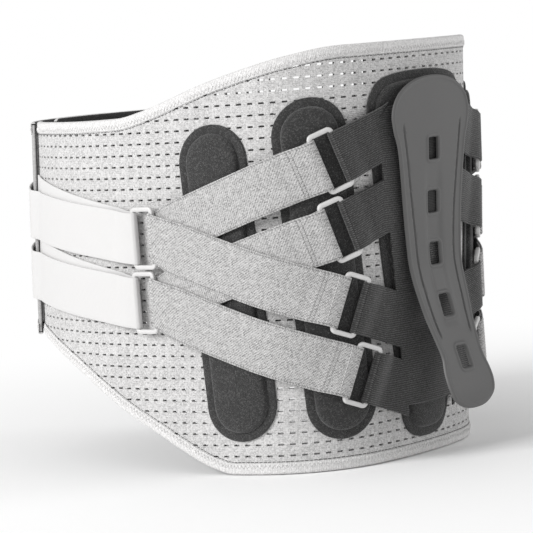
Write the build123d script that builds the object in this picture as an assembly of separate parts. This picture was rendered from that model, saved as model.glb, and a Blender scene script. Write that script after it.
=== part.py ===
from build123d import *
import math
import os

# Lumbar support belt, closed as it is worn, standing on its lower edge. Millimetres.
# +Z is up, the wearer faces +Y, and the wearer's left side is -X.
# A point of the belt is given by d, r and z: d is the distance round the belt from the middle of
# the back, r the distance outward from the panels' outer face, and z the height.

BACK_Y = -137.8          # the middle of the back, at floor level
LEAN = 0.065             # the belt leans back by this much of its height
PLAN = [(45, 10), (90, 63), (105, 17), (110, 30)]   # arcs of half the belt: length, turn in degrees
FRONT_TURN = 60          # the last arc, which closes the loop at the middle of the front

PANEL = 2.8              # thickness of the perforated panels
LINING = 1.1
TOP_EDGE = [(-60, 290), (12, 290), (36, 286), (66, 279), (99, 270), (126, 261), (150, 254),
            (172, 250), (230, 249), (400, 249)]      # y from the back, height of the upper edge
BOTTOM_EDGE = [(-60, 0), (80, 0), (98, 5), (122, 17), (142, 28), (166, 40), (195, 56), (220, 69),
               (250, 81), (276, 89), (300, 93), (400, 93)]
BINDING_WALL = 0.6
BINDING_WIDTH = 8.0

HINGE_D = 204            # the line where each wing folds outward
FRONT_D = 385            # the perforated panel meets the front panel
LAP = 35                 # each front panel runs this far past the middle of the front

WEBBING = 36             # width of the elastic and of the pull straps
WEB_THICK = 1.3
FOLD_IN = 0.1            # running clearance of a fold on its bar
FOLD_THICK = 1.5
BAR = 3.4                # thickness of the ring bars
RING_INSIDE = 37.6
ANCHORS = [(84, 213), (79, 166), (73, 114), (66, 65)]    # d and z of the anchor rings' middles
ANCHOR_R = 8.8
ANCHOR_DEPTH = 19.5
PULLS = [(220, 166.5), (220, 121.5)]                     # d and z of the pull rings' middles
PULL_R = 6.0
PULL_DEPTH = 20.0
PULL_SLOPE = 6.2         # degrees that the pull straps rise towards the front
GRIP_D = 418             # where the pull straps end

PADS = {"inner": (86, 139, 52, 236), "outer": (157, 133, 52, 220)}   # d, z, width, length
PAD_LEAN = 6             # degrees that the pads' tops lean forward
FLANGE = 6
FLANGE_THICK = 1.5
PAD_TOP = 5.0
STAY = (11, 1.2)         # width and thickness of the stays

COMB_R = 5.6
COMB_THICK = 1.3
PLATE_THICK = 3.0
PLATE_OUTLINE = [(0, 264.5), (22, 261.5), (38, 253), (44.5, 241), (43, 228), (38.5, 214), (34, 178),
                 (31, 143), (28, 107), (24, 82), (23, 70), (25.5, 60), (26, 50), (22.5, 41), (12, 35),
                 (0, 33.5)]                                  # half width, height
PLATE_STANDOFF = [(280, 12), (215, 12), (178, 11.5), (142, 12.5), (103, 22), (66, 36), (43, 44),
                  (20, 47)]                                # height, distance out from the belt
PLATE_SLOTS = [214, 177, 141, 105, 69]
SLOT_SIZE = (11, 15)


def closing_arc():
    """Length of the last arc, whose radius brings the loop to x = 0."""
    x = 0
    heading = 0
    for length, turn in PLAN:
        radius = length / math.radians(turn)
        x += radius * (math.sin(math.radians(heading + turn)) - math.sin(math.radians(heading)))
        heading += turn
    radius = x / math.sin(math.radians(heading))
    return radius * math.radians(FRONT_TURN)


ARCS = PLAN + [(closing_arc(), FRONT_TURN)]
HALF = sum(length for length, turn in ARCS)


def on_plan(d, r=0.0):
    """x, y and heading (radians) of the plan at distance d, r outward."""
    sign = -1 if d < 0 else 1
    left = abs(d)
    x = 0
    y = 0
    heading = 0
    for number, (length, turn) in enumerate(ARCS):
        last = number == len(ARCS) - 1
        step = left if last else min(left, length)
        rate = math.radians(turn) / length
        ahead = heading + rate * step
        x += (math.sin(ahead) - math.sin(heading)) / rate
        y += (math.cos(heading) - math.cos(ahead)) / rate
        heading = ahead
        left -= step
        if left <= 0:
            break
    x += r * math.sin(heading)
    y -= r * math.cos(heading)
    return sign * x, BACK_Y + y, sign * heading


def at(d, r, z):
    """A point on the belt."""
    x, y, heading = on_plan(d, r)
    return Vector(x, y - LEAN * z, z)


def frame_at(d, r, z, turn=0):
    """A plane on the leaning belt: x along it towards the front, y up it, z outward."""
    x, y, heading = on_plan(d)
    level = Vector(math.cos(heading), math.sin(heading), 0)
    outward = level.cross(Vector(0, -LEAN, 1)).normalized()
    along = level.rotate(Axis((0, 0, 0), outward), turn)
    return Plane(origin=at(d, r, z), x_dir=along, z_dir=outward)


def shifted(plane, x, z):
    """The same plane moved along its own x and z."""
    return Plane(origin=plane.from_local_coords(Vector(x, 0, z)), x_dir=plane.x_dir, z_dir=plane.z_dir)


def breaks(start, end):
    """The distances between start and end where one arc of the plan meets the next."""
    found = [0.0]
    total = 0
    for length, turn in ARCS[:-1]:
        total += length
        found += [total, -total]
    inside = [d for d in found if start + 0.01 < d < end - 0.01 and d != 0]
    return [start] + sorted(inside) + [end]


def path(start, end, r):
    """Edges along the plan from start to end, r outward, at floor level."""
    stops = breaks(start, end)
    edges = []
    for a, b in zip(stops, stops[1:]):
        points = [Vector(*on_plan(d, r)[:2], 0) for d in (a, (a + b) / 2, b)]
        edges.append(Edge.make_three_point_arc(*points))
    return edges


def band(start, end, r_in, r_out, low=-10.0, high=310.0):
    """A wall that follows the belt, from start to end and from r_in to r_out."""
    outer = path(start, end, r_out)
    inner = path(start, end, r_in)
    closing = [Edge.make_line(outer[0] @ 0, inner[0] @ 0), Edge.make_line(outer[-1] @ 1, inner[-1] @ 1)]
    face = Face(Wire(outer + inner + closing))
    face = face.moved(Location((0, -LEAN * low, low)))
    tall = high - low
    return Solid.extrude(face, Vector(0, -LEAN * tall, tall))


def edge_points(edge, rise):
    """An edge line as points of the side view, raised by rise."""
    return [(BACK_Y + y - LEAN * (z + rise), z + rise) for y, z in edge]


def between(low_edge, low_rise, high_edge, high_rise):
    """Everything between two lines of the side view."""
    points = edge_points(low_edge, low_rise) + edge_points(high_edge, high_rise)[::-1]
    face = Face(Wire.make_polygon([Vector(-200, y, z) for y, z in points], close=True))
    return Solid.extrude(face, Vector(400, 0, 0))


def panel(start, end, r_in, r_out):
    """A cloth panel cut to the belt's upper and lower edges."""
    return band(start, end, r_in, r_out) & between(BOTTOM_EDGE, BINDING_WALL + 0.1, TOP_EDGE, -BINDING_WALL - 0.1)


def edge_binding(edge, upper, start, end, r_in, r_out):
    """The folded tape round one long edge of a stack of cloth from r_in to r_out."""
    side = -1 if upper else 1
    rises = sorted([0, side * BINDING_WIDTH])
    tape = band(start, end, r_in - 0.1 - BINDING_WALL, r_out + 0.1 + BINDING_WALL)
    tape = tape & between(edge, rises[0], edge, rises[1])
    rises = sorted([side * BINDING_WALL, side * (BINDING_WIDTH + 2)])
    return tape - (band(start, end, r_in - 0.1, r_out + 0.1) & between(edge, rises[0], edge, rises[1]))


def front_binding(start, end, r_in, r_out):
    """The folded tape round the upper edge, the free end and the lower edge of a front panel."""
    wall = BINDING_WALL
    tape = band(start, end + wall, r_in - 0.1 - wall, r_out + 0.1 + wall)
    tape = tape & between(BOTTOM_EDGE, 0, TOP_EDGE, 0)
    middle = band(start - 1, end - BINDING_WIDTH, r_in - 3, r_out + 3)
    tape = tape - (middle & between(BOTTOM_EDGE, BINDING_WIDTH, TOP_EDGE, -BINDING_WIDTH))
    return tape - (band(start - 1, end + 0.05, r_in - 0.1, r_out + 0.1) & between(BOTTOM_EDGE, wall, TOP_EDGE, -wall))


def pad(d, z, width, length):
    """A stay pad: a flat flange with a raised middle, and a closed pocket for the stay."""
    plane = frame_at(d, -3, z, -PAD_LEAN)
    deep = 16

    def capsule(inset):
        shape = SlotOverall(length - 2 * inset, width - 2 * inset, rotation=90)
        return extrude(plane * shape, deep)

    flange = band(d - 50, d + 50, 0.1, 0.1 + FLANGE_THICK) & capsule(0)
    body = band(d - 50, d + 50, 0.1, PAD_TOP) & capsule(FLANGE)
    pocket = band(d - 50, d + 50, 1.0, 1.2 + STAY[1])
    pocket = pocket & extrude(plane * SlotOverall(length - 31.8, STAY[0] + 0.2, rotation=90), deep)
    return (flange + body) - pocket


def stay(d, z, width, length):
    """The springy strip inside a stay pad."""
    plane = frame_at(d, -3, z, -PAD_LEAN)
    strip = band(d - 50, d + 50, 1.1, 1.1 + STAY[1])
    return strip & extrude(plane * SlotOverall(length - 32, STAY[0], rotation=90), 16)


def seen_from_behind(outline, corner=0.0):
    """A prism along Y with that outline, given as x and z on the right-hand half."""
    whole = outline + [(-x, z) for x, z in outline[::-1] if x > 0]
    face = Face(Wire.make_polygon([Vector(x, -260, z) for x, z in whole], close=True))
    if corner:
        face = face.fillet_2d(corner, face.vertices())
    return Solid.extrude(face, Vector(0, 180, 0))


def centre_pad():
    """The pad over the spine, which narrows downward."""
    flange = band(-80, 80, 0.1, 0.1 + FLANGE_THICK)
    flange = flange & seen_from_behind([(50, 272), (60, 246), (44, 154), (27, 36), (20, 13)], 9)
    body = band(-80, 80, 0.1, PAD_TOP)
    return flange + (body & seen_from_behind([(44, 265), (53, 246), (38, 154), (21, 38), (15, 20)], 7))


def anchor_plane(number):
    """The plane of an anchor ring, its x along its strap, and the strap's slope."""
    d0, z0 = ANCHORS[number]
    d1, z1 = PULLS[number % 2]
    d1 -= (PULL_DEPTH - BAR) / 2
    slope = math.degrees(math.atan2(z1 - z0, d1 - d0))
    return frame_at(d0, ANCHOR_R, z0, slope), slope


def pull_plane(number):
    """The plane of a pull ring, its x towards the front."""
    d, z = PULLS[number]
    return frame_at(d, PULL_R, z)


def ring(depth):
    """A rectangular strap loop with rounded bars, in its own plane."""
    tall = RING_INSIDE + 2 * BAR
    outer = RectangleRounded(depth, tall, 3)
    inner = RectangleRounded(depth - 2 * BAR, RING_INSIDE, 0.5)
    body = extrude(outer - inner, BAR / 2, both=True)
    long_edges = [e for e in body.edges().filter_by(GeomType.LINE) if abs((e @ 0).Z - (e @ 1).Z) < 0.01]
    return fillet(long_edges, 1.5)


def fold(plane, reach):
    """Webbing folded round the bar at that reach from a ring's middle."""
    tube = Cylinder(BAR / 2 + FOLD_IN + FOLD_THICK, WEBBING) - Cylinder(BAR / 2 + FOLD_IN, WEBBING + 2)
    return plane * Pos(reach, 0) * Rot(90, 0, 0) * tube


def ribbon(planes, width=WEBBING, thick=WEB_THICK):
    """A flat strap through planes whose x runs along it and whose z is its thickness."""
    sections = []
    for plane in planes:
        half = width / 2
        corners = [(0, -half, 0), (0, half, 0), (0, half, thick), (0, -half, thick)]
        points = [plane.from_local_coords(Vector(*corner)) for corner in corners]
        sections.append(Wire.make_polygon(points, close=True))
    return Solid.make_loft(sections, ruled=True)


def along_belt(stops, slope, d0, z0, step=7.0):
    """Planes every few millimetres along a strap, given stops of d and r, and a point d0, z0 it passes."""
    rise = math.tan(math.radians(slope))
    planes = []
    for (a, r_a), (b, r_b) in zip(stops, stops[1:]):
        count = max(1, math.ceil((b - a) / step))
        for number in range(count):
            share = number / count
            d = a + (b - a) * share
            planes.append(frame_at(d, r_a + (r_b - r_a) * share, z0 + (d - d0) * rise, slope))
    d, r = stops[-1]
    planes.append(frame_at(d, r, z0 + (d - d0) * rise, slope))
    return planes


def arm(number):
    """One arm of an elastic strap, from its anchor ring to its pull ring."""
    plane, slope = anchor_plane(number)
    d0, z0 = ANCHORS[number]
    upper = number < 2
    reach = (ANCHOR_DEPTH - BAR) / 2
    pull_reach = -(PULL_DEPTH - BAR) / 2
    outside = BAR / 2 + FOLD_IN + 0.1
    start = d0 + reach * math.cos(math.radians(slope))
    middle = 6.6 if upper else 8.3
    level = -outside - WEB_THICK if upper else outside
    end_d = PULLS[number % 2][0] + pull_reach
    stops = [(start + 8, middle + 0.8), (start + 11.5, middle), (190, middle), (end_d - 9, PULL_R + level)]
    planes = [shifted(plane, reach, outside), shifted(plane, reach + 3, outside)]
    planes += along_belt(stops, slope, d0, z0)
    planes.append(frame_at(end_d, PULL_R + level, z0 + (end_d - d0) * math.tan(math.radians(slope)), slope))
    return ribbon(planes) + fold(plane, reach)


def elastic_strap(number):
    """A V of elastic: two arms from the anchor rings, joined round one pull ring."""
    joined = fold(pull_plane(number), -(PULL_DEPTH - BAR) / 2)
    return arm(number) + arm(number + 2) + joined


def pull_strap(number, front_r, climb_d):
    """A pull strap: the outer layer runs to the grip at the front, and the inner layer turns back under it."""
    d, z = PULLS[number]
    reach = (PULL_DEPTH - BAR) / 2
    outside = BAR / 2 + FOLD_IN + 0.1
    plane = pull_plane(number)
    outer = [(d + reach + 4, PULL_R + outside - 0.3), (250, 4.2), (268, 2.6), (climb_d, 2.6),
             (climb_d + 13, front_r), (GRIP_D, front_r)]
    inner = [(d + reach + 4, 2.3), (250, 0.9), (268, 0.6), (climb_d - 6, 0.6)]
    over = ribbon([shifted(plane, reach, outside)] + along_belt(outer, PULL_SLOPE, d + reach, z))
    under = ribbon([shifted(plane, reach, -outside - WEB_THICK)]
                   + along_belt(inner, PULL_SLOPE * 1.5, d + reach, z))
    return over + under + fold(plane, reach)


def strap_hook(number, front_r):
    """The hook patch under a pull strap's grip."""
    d, z = PULLS[number]
    stops = [(FRONT_D + 12, front_r - 1.05), (GRIP_D - 2, front_r - 1.05)]
    return ribbon(along_belt(stops, PULL_SLOPE, d + (PULL_DEPTH - BAR) / 2, z), WEBBING - 5, 0.9)


def comb_panel():
    """The ribbed panel behind the plate, with four tabs a side folded round the anchor rings."""
    sheet = band(-110, 110, COMB_R, COMB_R + COMB_THICK)
    body = sheet & seen_from_behind([(40, 246), (50, 238), (46, 190), (38, 140), (34, 92), (30, 48), (26, 38)])
    half = None
    for number in range(4):
        plane, slope = anchor_plane(number)
        reach = (ANCHOR_DEPTH - BAR) / 2
        flap = sheet & extrude(shifted(plane, -reach, -30) * Pos(-22, 0) * Rectangle(44, WEBBING), 36)
        flap = flap + fold(plane, -reach)
        half = flap if half is None else half + flap
    half = half - Pos(-100, -150, 150) * Box(196, 400, 400)
    return body + half + mirror(half, about=Plane.YZ)


def plate_side(extra):
    """The plate's side view, its outer face moved out by extra."""
    def spline(more):
        points = [Vector(-80, BACK_Y - LEAN * z - out - more, z) for z, out in PLATE_STANDOFF]
        return Edge.make_spline(points)
    outer = spline(extra)
    inner = spline(-PLATE_THICK if extra == 0 else extra - 1.6)
    ends = [Edge.make_line(outer @ 0, inner @ 0), Edge.make_line(outer @ 1, inner @ 1)]
    return Solid.extrude(Face(Wire([outer, inner] + ends)), Vector(160, 0, 0))


def lumbar_plate():
    """The rigid plate: a rounded head, a waisted shank with slots, and a paddle that stands away from the back."""
    right = Edge.make_spline([Vector(x, -260, z) for x, z in PLATE_OUTLINE], tangents=[(1, 0, 0), (-1, 0, 0)])
    wire = Wire([right, right.mirror(Plane.YZ)])
    plate = plate_side(0) & Solid.extrude(Face(wire), Vector(0, 180, 0))
    for z in PLATE_SLOTS:
        hole = extrude(Plane(origin=(0, -260, z), x_dir=(1, 0, 0), z_dir=(0, 1, 0)) * RectangleRounded(*SLOT_SIZE, 1.5), 180)
        plate = plate - hole
    groove = Edge.make_spline([Vector(33, -260, 232), Vector(28, -260, 200), Vector(22, -260, 150),
                               Vector(20, -260, 110), Vector(17.5, -260, 84)])
    back = Edge.make_spline([Vector(31.8, -260, 232), Vector(26.8, -260, 200), Vector(20.8, -260, 150),
                             Vector(18.8, -260, 110), Vector(16.3, -260, 84)])
    caps = [Edge.make_line(groove @ 0, back @ 0), Edge.make_line(groove @ 1, back @ 1)]
    strip = Solid.extrude(Face(Wire([groove, back] + caps)), Vector(0, 180, 0)) & plate_side(0.8)
    return plate - strip - mirror(strip, about=Plane.YZ)


def both_sides(name, shape):
    """A piece of the right side, and its mirror image on the left."""
    pieces[name + "_right"] = shape
    pieces[name + "_left"] = mirror(shape, about=Plane.YZ)


pieces = {}
stack_in = -PANEL - 0.1 - LINING
pieces["back_panel"] = panel(-HINGE_D + 0.2, HINGE_D - 0.2, -PANEL, 0)
pieces["back_lining"] = panel(-HINGE_D + 0.2, HINGE_D - 0.2, stack_in, -PANEL - 0.1)
pieces["back_binding_top"] = edge_binding(TOP_EDGE, True, -HINGE_D + 0.2, HINGE_D - 0.2, stack_in, 0)
pieces["back_binding_bottom"] = edge_binding(BOTTOM_EDGE, False, -HINGE_D + 0.2, HINGE_D - 0.2, stack_in, 0)
pieces["centre_pad"] = centre_pad()
for name, measures in PADS.items():
    both_sides("pad_" + name, pad(*measures))
    both_sides("stay_" + name, stay(*measures))
pieces["comb_panel"] = comb_panel()
pieces["plate_hook_pad"] = band(-60, 60, COMB_R + COMB_THICK + 0.1, 8.1) & seen_from_behind([(22, 250), (22, 165)], 5)
pieces["lumbar_plate"] = lumbar_plate()

for number in range(4):
    both_sides("anchor_ring_%d" % (number + 1), anchor_plane(number)[0] * ring(ANCHOR_DEPTH))

both_sides("side_panel", panel(HINGE_D + 0.2, FRONT_D - 0.2, -PANEL, 0))
both_sides("side_lining", panel(HINGE_D + 0.2, FRONT_D - 0.2, stack_in, -PANEL - 0.1))
both_sides("side_binding_top", edge_binding(TOP_EDGE, True, HINGE_D + 0.2, FRONT_D - 0.2, stack_in, 0))
both_sides("side_binding_bottom", edge_binding(BOTTOM_EDGE, False, HINGE_D + 0.2, FRONT_D - 0.2, stack_in, 0))

# At the front the left panel lies over the right one, with loop cloth, hooks and panel in turn.
front_r = {"right": (-2.6, 0.0), "left": (2.2, 4.8)}
tape_r = {"right": (0.05, 0.9), "left": (0.05, 2.1)}
grip_r = {"right": 2.3, "left": 7.0}
climb_d = {"right": 368, "left": 358}
for side, (r_in, r_out) in front_r.items():
    end = HALF + LAP
    start = FRONT_D if side == "right" else FRONT_D - 12
    made = {}
    made["front_panel"] = panel(start, end, r_in, r_out)
    made["front_binding"] = front_binding(start, end, r_in, r_out)
    loop = band(FRONT_D + 8, end - 9, r_out + 0.05, r_out + 0.95)
    made["loop_patch"] = loop & between(BOTTOM_EDGE, 14, TOP_EDGE, -22)
    tape = band(FRONT_D - 11, FRONT_D + (6 if side == "right" else -0.5), *tape_r[side])
    made["seam_tape"] = tape & between(BOTTOM_EDGE, 9, TOP_EDGE, -9)
    for number, place in enumerate(("upper", "lower")):
        made["pull_strap_" + place] = pull_strap(number, grip_r[side], climb_d[side])
        made["strap_hook_" + place] = strap_hook(number, grip_r[side])
        made["pull_ring_" + place] = pull_plane(number) * ring(PULL_DEPTH)
        made["elastic_" + place] = elastic_strap(number)
    for name, shape in made.items():
        pieces[name + "_" + side] = shape if side == "right" else mirror(shape, about=Plane.YZ)

hooks = band(HALF - LAP + 10, HALF + LAP - 9, 1.05, 2.1) & between(BOTTOM_EDGE, 16, TOP_EDGE, -24)
pieces["front_hook_pad"] = mirror(hooks, about=Plane.YZ)

os.makedirs("parts", exist_ok=True)
for name, shape in pieces.items():
    export_step(shape, "parts/%s.step" % name)
    box = shape.bounding_box()
    print("%-28s y %7.1f %7.1f  z %6.1f %6.1f" % (name, box.min.Y, box.max.Y, box.min.Z, box.max.Z))
print(len(pieces), "pieces; half length", round(HALF, 1))
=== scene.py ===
import math

import bmesh
import bpy
import numpy as np
from mathutils import Matrix, Vector
from mathutils.geometry import delaunay_2d_cdt


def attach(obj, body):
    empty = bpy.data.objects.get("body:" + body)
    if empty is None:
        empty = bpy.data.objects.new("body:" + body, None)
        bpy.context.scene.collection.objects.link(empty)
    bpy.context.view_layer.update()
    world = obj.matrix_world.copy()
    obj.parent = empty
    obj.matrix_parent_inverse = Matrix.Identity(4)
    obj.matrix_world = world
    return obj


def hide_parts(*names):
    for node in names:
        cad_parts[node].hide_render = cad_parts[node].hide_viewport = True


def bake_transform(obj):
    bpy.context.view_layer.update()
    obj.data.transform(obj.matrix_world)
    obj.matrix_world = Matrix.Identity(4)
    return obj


# The looks of a lumbar support belt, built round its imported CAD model.
# A point of the belt is given by d, r and z in millimetres: d is the distance round the belt from
# the middle of the back, minus on the wearer's left (-X); r is the distance outward from the
# panels' outer face, and z the height. Points become metres in the frame when a piece is made.

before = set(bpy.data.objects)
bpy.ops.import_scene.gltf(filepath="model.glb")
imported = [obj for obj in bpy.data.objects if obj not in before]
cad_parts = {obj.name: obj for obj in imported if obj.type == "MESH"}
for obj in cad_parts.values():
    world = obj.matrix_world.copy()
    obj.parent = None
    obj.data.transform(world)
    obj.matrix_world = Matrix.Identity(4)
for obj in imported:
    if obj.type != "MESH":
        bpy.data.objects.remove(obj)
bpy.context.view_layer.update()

MM = 0.001
BACK_Y = -137.8          # the middle of the back at the floor
LEAN = 0.065             # how far the back leans outward for each unit of height
PLAN = [(45, 10), (90, 63), (105, 17), (110, 30)]    # arcs of half the belt: length, turn in degrees
FRONT_TURN = 60
HEIGHT = 290
PANEL = 2.8
LINING = 1.1
GAP = 0.1                # between layers of cloth
STACK_IN = -PANEL - GAP - LINING
# height of each edge by the distance forward from the back
TOP_EDGE = [(-60, 290), (12, 290), (36, 286), (66, 279), (99, 270), (126, 261), (150, 254),
            (172, 250), (230, 249), (400, 249)]
BOTTOM_EDGE = [(-60, 0), (80, 0), (98, 5), (122, 17), (142, 28), (166, 40), (195, 56), (220, 69),
               (250, 81), (276, 89), (300, 93), (400, 93)]
BINDING_WIDTH = 8.0
TAPE_WALL = 0.6
TUCK = 2.0               # how far inside the edge line the cloth ends, within the folded tape
BEND_END_D = 212         # each wing's hinge span runs from SPLIT_D to here
BEND_Z = 140
FRONT_D = 385
LAP = 35
WEBBING = 36
WEB_THICK = 1.3
BAR = 3.4                # thickness of a ring's bar
RING_INSIDE = 37
ANCHORS = [(84, 213), (79, 166), (73, 114), (66, 65)]
ANCHOR_R = 8.8
ANCHOR_DEPTH = 19.5
PULLS = [(220, 166.5), (220, 121.5)]
PULL_R = 6.0
PULL_DEPTH = 20.0
PULL_SLOPE = 6.2
GRIP_D = 418             # where the pull straps end
HUG = BAR / 2 + 0.15     # radius of the webbing's inner face where it goes round a bar
TAIL = 16.0              # the webbing is sewn to itself this far from a ring
ANCHOR_REACH = (ANCHOR_DEPTH - BAR) / 2
PULL_REACH = (PULL_DEPTH - BAR) / 2
PADS = {"inner": (86, 139, 52, 236), "outer": (157, 133, 52, 220)}    # d, z, width, length
PAD_LEAN = 6
CENTRE_PAD = [(0, 269), (24, 268), (42, 264), (51, 254.5), (53.5, 243), (51, 215), (45, 154),
              (35.5, 92), (28, 40), (24, 24), (15, 15), (0, 12.5)]
PAD_CROWN = 5.0
PAD_STEPS = [(0.0, 0.05), (0.0, 0.9), (0.25, 1.35), (0.8, 1.5), (2.2, 1.52), (4.4, 1.5), (5.5, 1.3),
             (6.1, 1.35), (6.5, 2.6), (7.2, 3.7), (8.6, 4.3), (11.0, 4.6), (14.0, 4.8), (18.0, 4.92),
             (22.0, 4.98), (25.9, PAD_CROWN)]        # how far inside the pad's edge, and how high
COMB_R = 5.6
COMB_THICK = 1.3
COMB_LOW, COMB_HIGH = 36.5, 247.0
COMB_EDGE = [(38, 26), (48, 30), (92, 34), (140, 38), (190, 46), (238, 50), (246, 40)]   # height, half width
PLATE_THICK = 3.0
PLATE_OUTLINE = [(0, 264.5), (22, 261.5), (38, 253), (44.5, 241), (43, 228), (38.5, 214), (34, 178),
                 (31, 143), (28, 107), (24, 82), (23, 70), (25.5, 60), (26, 50), (22.5, 41), (12, 35),
                 (0, 33.5)]
PLATE_STANDOFF = [(280, 12), (215, 12), (178, 11.5), (142, 12.5), (103, 22), (66, 36), (43, 44),
                  (20, 47)]                          # height, and how far the plate stands off the back
PLATE_RIM = [(0.0, 1.5), (0.3, 0.62), (0.8, 0.16), (1.5, 0.0), (2.3, 0.0), (2.8, 0.45), (3.3, 0.6)]
PLATE_SLOTS = [214, 177, 141, 105, 69]
SLOT_SIZE = (11, 15)
SLOT_CORNER = 1.5
GROOVE = [(232, 33), (200, 28), (150, 22), (110, 20), (84, 17.5)]    # height, and distance from the middle
GROOVE_DEEP = 1.3
CHANNEL_DEEP = 1.3
HOLE_PITCH = (8.19, 7.8)          # along the belt and up it
HOLE_START = (259.5, 247.0)       # a hole of the pattern
HOLE_SIZE = (4.2, 1.35)
HOLE_CLEAR = 1.6                  # a hole's middle is at least this far from the cloth's edge
SPLIT_D = HOLE_START[0] - 8.5 * HOLE_PITCH[0]    # the back's cloth ends here, and each wing's begins
SIDES = {"right": 1, "left": -1}
LEVELS = ("upper", "lower")
# the left front lies over the right one
FRONT_R = {"right": (-2.6, 0.0), "left": (2.2, 4.8)}
GRIP_R = {"right": 2.3, "left": 7.0}
CLIMB_D = {"right": 368, "left": 358}
SEAM_R = {"right": (0.05, 0.9), "left": (0.05, 2.1)}
FRONT_START = {"right": FRONT_D, "left": FRONT_D - 12}
SEAM_END = {"right": FRONT_D + 6, "left": FRONT_D - 0.5}


# ---- the belt's shape ---------------------------------------------------------------------------

def stack(*parts):
    """Arrays and numbers, broadcast together, along a new last axis."""
    return np.stack(np.broadcast_arrays(*parts), axis=-1)


def along_arcs(arcs, left):
    """x, y and heading at distances along a chain of arcs, the last of which goes on."""
    x = y = heading = np.zeros_like(left)
    for number, (length, turn) in enumerate(arcs):
        step = left if number == len(arcs) - 1 else np.minimum(left, length)
        rate = math.radians(turn) / length
        ahead = heading + rate * step
        x = x + (np.sin(ahead) - np.sin(heading)) / rate
        y = y + (np.cos(heading) - np.cos(ahead)) / rate
        heading = ahead
        left = left - step
    return x, y, heading


# the last arc's radius brings the loop to x = 0
HALF_OPEN = sum(length for length, turn in PLAN)
OPEN_END = along_arcs(PLAN, np.array(float(HALF_OPEN)))
CLOSING_ARC = float(OPEN_END[0] / np.sin(OPEN_END[2]) * math.radians(FRONT_TURN))
ARCS = PLAN + [(CLOSING_ARC, FRONT_TURN)]
HALF = HALF_OPEN + CLOSING_ARC


def on_plan(d, r=0.0):
    """x, y and heading of the plan, for arrays of d and r."""
    d = np.asarray(d, float)
    sign = np.where(d < 0, -1.0, 1.0)
    x, y, heading = along_arcs(ARCS, np.abs(d))
    return sign * (x + r * np.sin(heading)), BACK_Y + (y - r * np.cos(heading)), sign * heading


def place(d, r, z):
    """Points of the belt in the frame, in metres."""
    d, r, z = np.broadcast_arrays(np.asarray(d, float), r, z)
    x, y = on_plan(d, r)[:2]
    return stack(x, y - LEAN * z, z) * MM


def smooth_line(stops, at):
    """A smooth line through stops of (position, value), with no overshoot, read at the positions."""
    xs, ys = np.array(sorted(stops), float).T
    slopes = np.diff(ys) / np.diff(xs)
    before, after = slopes[:-1], slopes[1:]
    inner = np.where(after * before > 0, 2 * after * before / (after + before + 1e-12), 0)
    tangents = np.concatenate([slopes[:1], inner, slopes[-1:]])
    at = np.clip(np.asarray(at, float), xs[0], xs[-1])
    i = np.clip(np.searchsorted(xs, at) - 1, 0, len(xs) - 2)
    width = xs[i + 1] - xs[i]
    t = (at - xs[i]) / width
    return ((2 * t**3 - 3 * t**2 + 1) * ys[i] + (t**3 - 2 * t**2 + t) * width * tangents[i]
            + (3 * t**2 - 2 * t**3) * ys[i + 1] + (t**3 - t**2) * width * tangents[i + 1])


def edge_height(edge, d):
    """Height of the upper or lower edge at distance d round the belt."""
    return smooth_line(edge, on_plan(d)[1] - BACK_Y)


def step_up(value, start, end):
    """0 before start and 1 after end, smoothly."""
    t = np.clip((np.asarray(value, float) - start) / (end - start), 0, 1)
    return t * t * (3 - 2 * t)


class Plane:
    """A flat frame on the leaning belt: x along it, turned by turn degrees, y up it and z outward."""

    def __init__(self, d, r, z, turn=0.0):
        heading = on_plan(d)[2]
        level = np.array([math.cos(heading), math.sin(heading), 0])
        out = np.cross(level, [0, -LEAN, 1])
        self.out = out / np.linalg.norm(out)
        rise = math.radians(turn)
        self.along = level * math.cos(rise) + np.cross(self.out, level) * math.sin(rise)
        self.up = np.cross(self.out, self.along)
        self.origin = place(d, r, z)

    def at(self, x, y, z):
        return self.origin + stack(x, y, z) @ np.array([self.along, self.up, self.out]) * MM


# ---- lines and outlines ---------------------------------------------------------------------------

def lengths_along(path):
    """How far along a path each of its points is."""
    return np.concatenate([[0], np.cumsum(np.linalg.norm(np.diff(path, axis=0), axis=1))])


def inward_of(path):
    """Unit vectors square to a flat path, to its left."""
    forward = np.gradient(path, axis=0)
    forward /= np.linalg.norm(forward, axis=1)[:, None]
    return stack(-forward[:, 1], forward[:, 0])


def inside(loop, spots):
    """True for the spots that lie inside a closed loop."""
    found = np.zeros(len(spots), bool)
    for a, b in zip(loop, np.roll(loop, -1, axis=0)):
        crosses = (a[1] > spots[:, 1]) != (b[1] > spots[:, 1])
        slant = (b[0] - a[0]) * (spots[:, 1] - a[1]) / (b[1] - a[1] + 1e-12) + a[0]
        found ^= crosses & (spots[:, 0] < slant)
    return found


def squarely_in(loop):
    """Unit vectors that point into a closed loop, one for each of its points."""
    inward = inward_of(np.concatenate([loop[-1:], loop, loop[:1]]))[1:-1]
    probe = inside(loop, loop + inward * 0.05)
    return inward if probe.mean() > 0.5 else -inward


def arc(x, y, radius, first, last, count):
    """Points of an arc round x and y, from the first angle to the last in degrees."""
    turn = np.radians(np.linspace(first, last, count))
    return stack(x + radius * np.cos(turn), y + radius * np.sin(turn))


def finer(points, step, size=np.linalg.norm):
    """A line's points with others between them, about a step apart by the size of the way between them."""
    found = []
    for a, b in zip(points, points[1:]):
        parts = max(1, int(size(b - a) / step))
        found += [a + (b - a) * k / parts for k in range(parts)]
    return np.array(found + [points[-1]])


def rounded_loop(half_x, half_y, corner, count):
    """A rectangle round (0, 0) whose corners are arcs of count points."""
    return np.concatenate([arc(x * (half_x - corner), y * (half_y - corner), corner, first, first + 90, count)
                           for x, y, first in ((1, 1, 0), (-1, 1, 90), (-1, -1, 180), (1, -1, 270))])


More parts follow.
